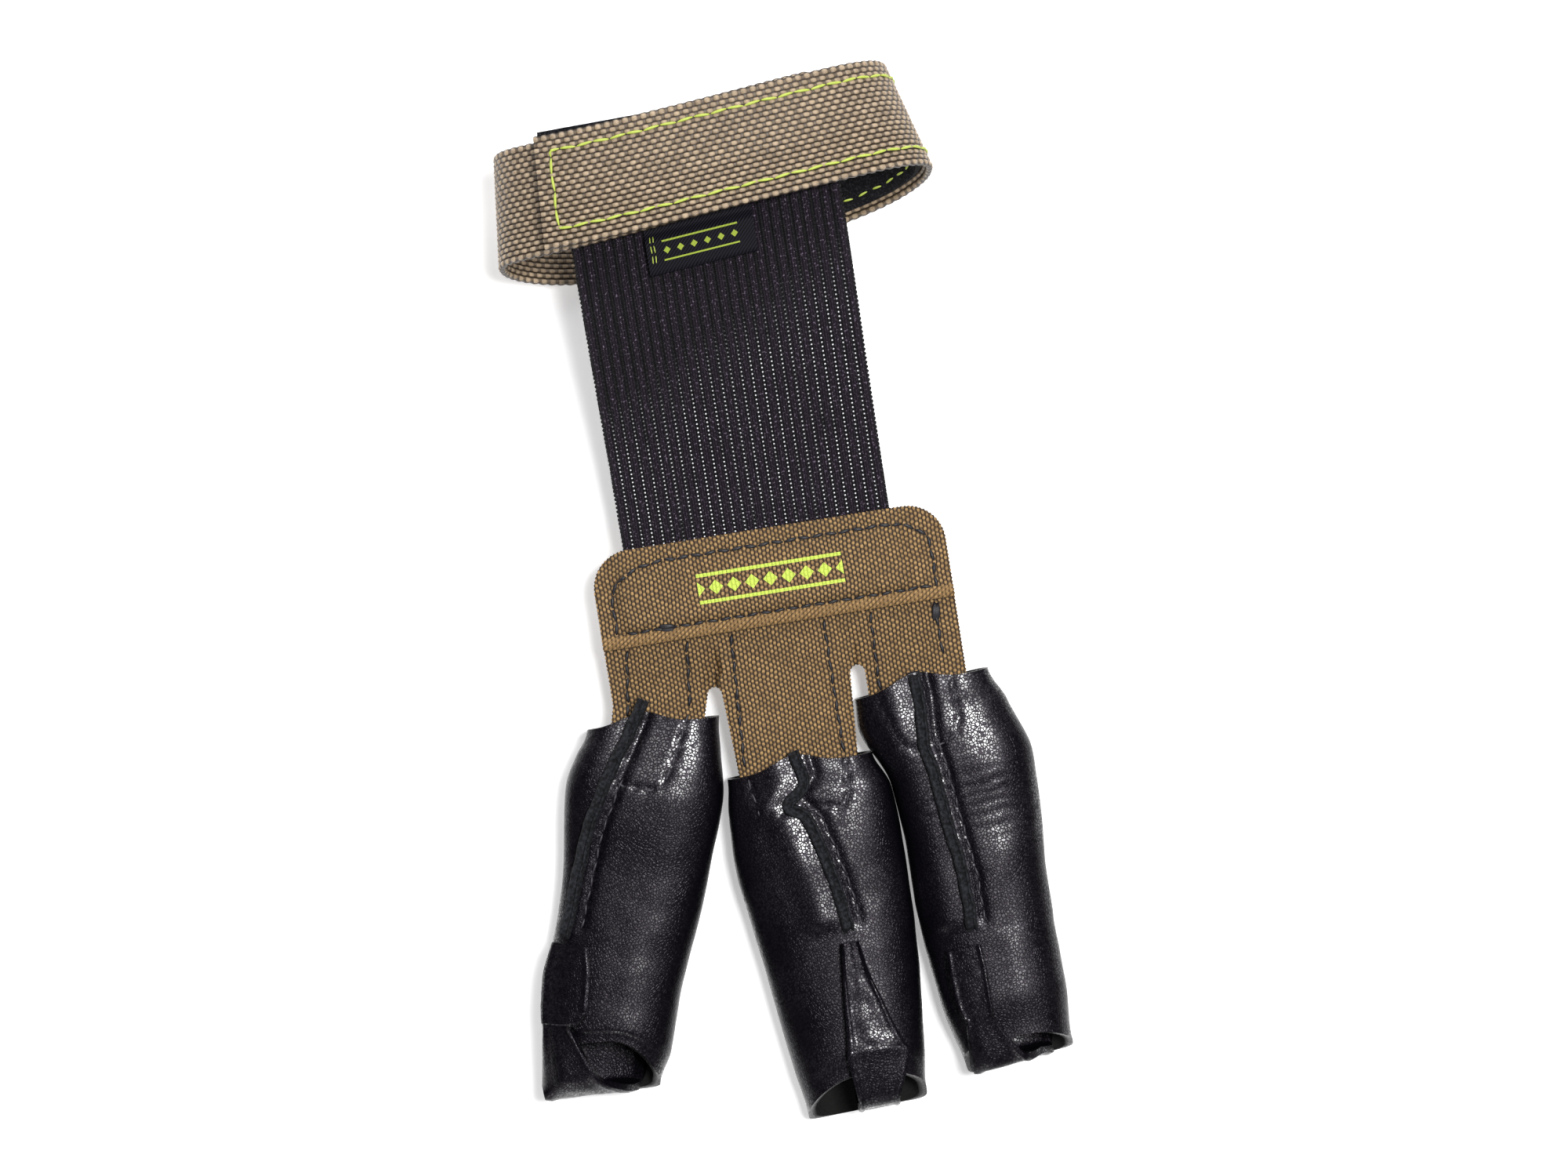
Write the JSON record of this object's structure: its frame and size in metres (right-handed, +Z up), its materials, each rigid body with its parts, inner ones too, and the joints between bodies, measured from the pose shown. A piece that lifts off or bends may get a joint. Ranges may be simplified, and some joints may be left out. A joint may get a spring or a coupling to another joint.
{
  "type": "archery glove",
  "caption": "Archery glove lying palm down: leather finger stalls on a woven back panel, an elastic band over the hand and a hook-and-loop wrist strap.",
  "frame": {"origin": "under the middle of the glove's outline, on the surface it lies on", "axes": "+Y from the fingertips to the wrist, +X to the right across the back of the hand seen from above with the wrist away from the viewer, +Z up out of the back of the hand"},
  "size_m": [0.1002, 0.1922, 0.035],
  "materials": {
    "strap_webbing": "coarse tan woven webbing with yellow-green thread",
    "loop_pile": "black loop pile",
    "elastic_weave": "black ribbed elastic webbing",
    "woven_tag": "fine black satin-woven tag",
    "panel_cloth": "brown coarse nylon cloth with black thread",
    "stall_leather": "black pebbled leather, half gloss"
  },
  "bodies": {
    "root": {"wrist_strap": "strap_webbing", "fastener_pad": "loop_pile", "elastic_band": "elastic_weave", "label_loop": "woven_tag", "back_panel": "panel_cloth", "yoke": "panel_cloth", "left_finger_stall": "stall_leather", "left_tip_tongue": "stall_leather", "middle_finger_stall": "stall_leather", "middle_tip_tongue": "stall_leather", "right_finger_stall": "stall_leather", "right_tip_tongue": "stall_leather"}
  },
  "joints": []
}
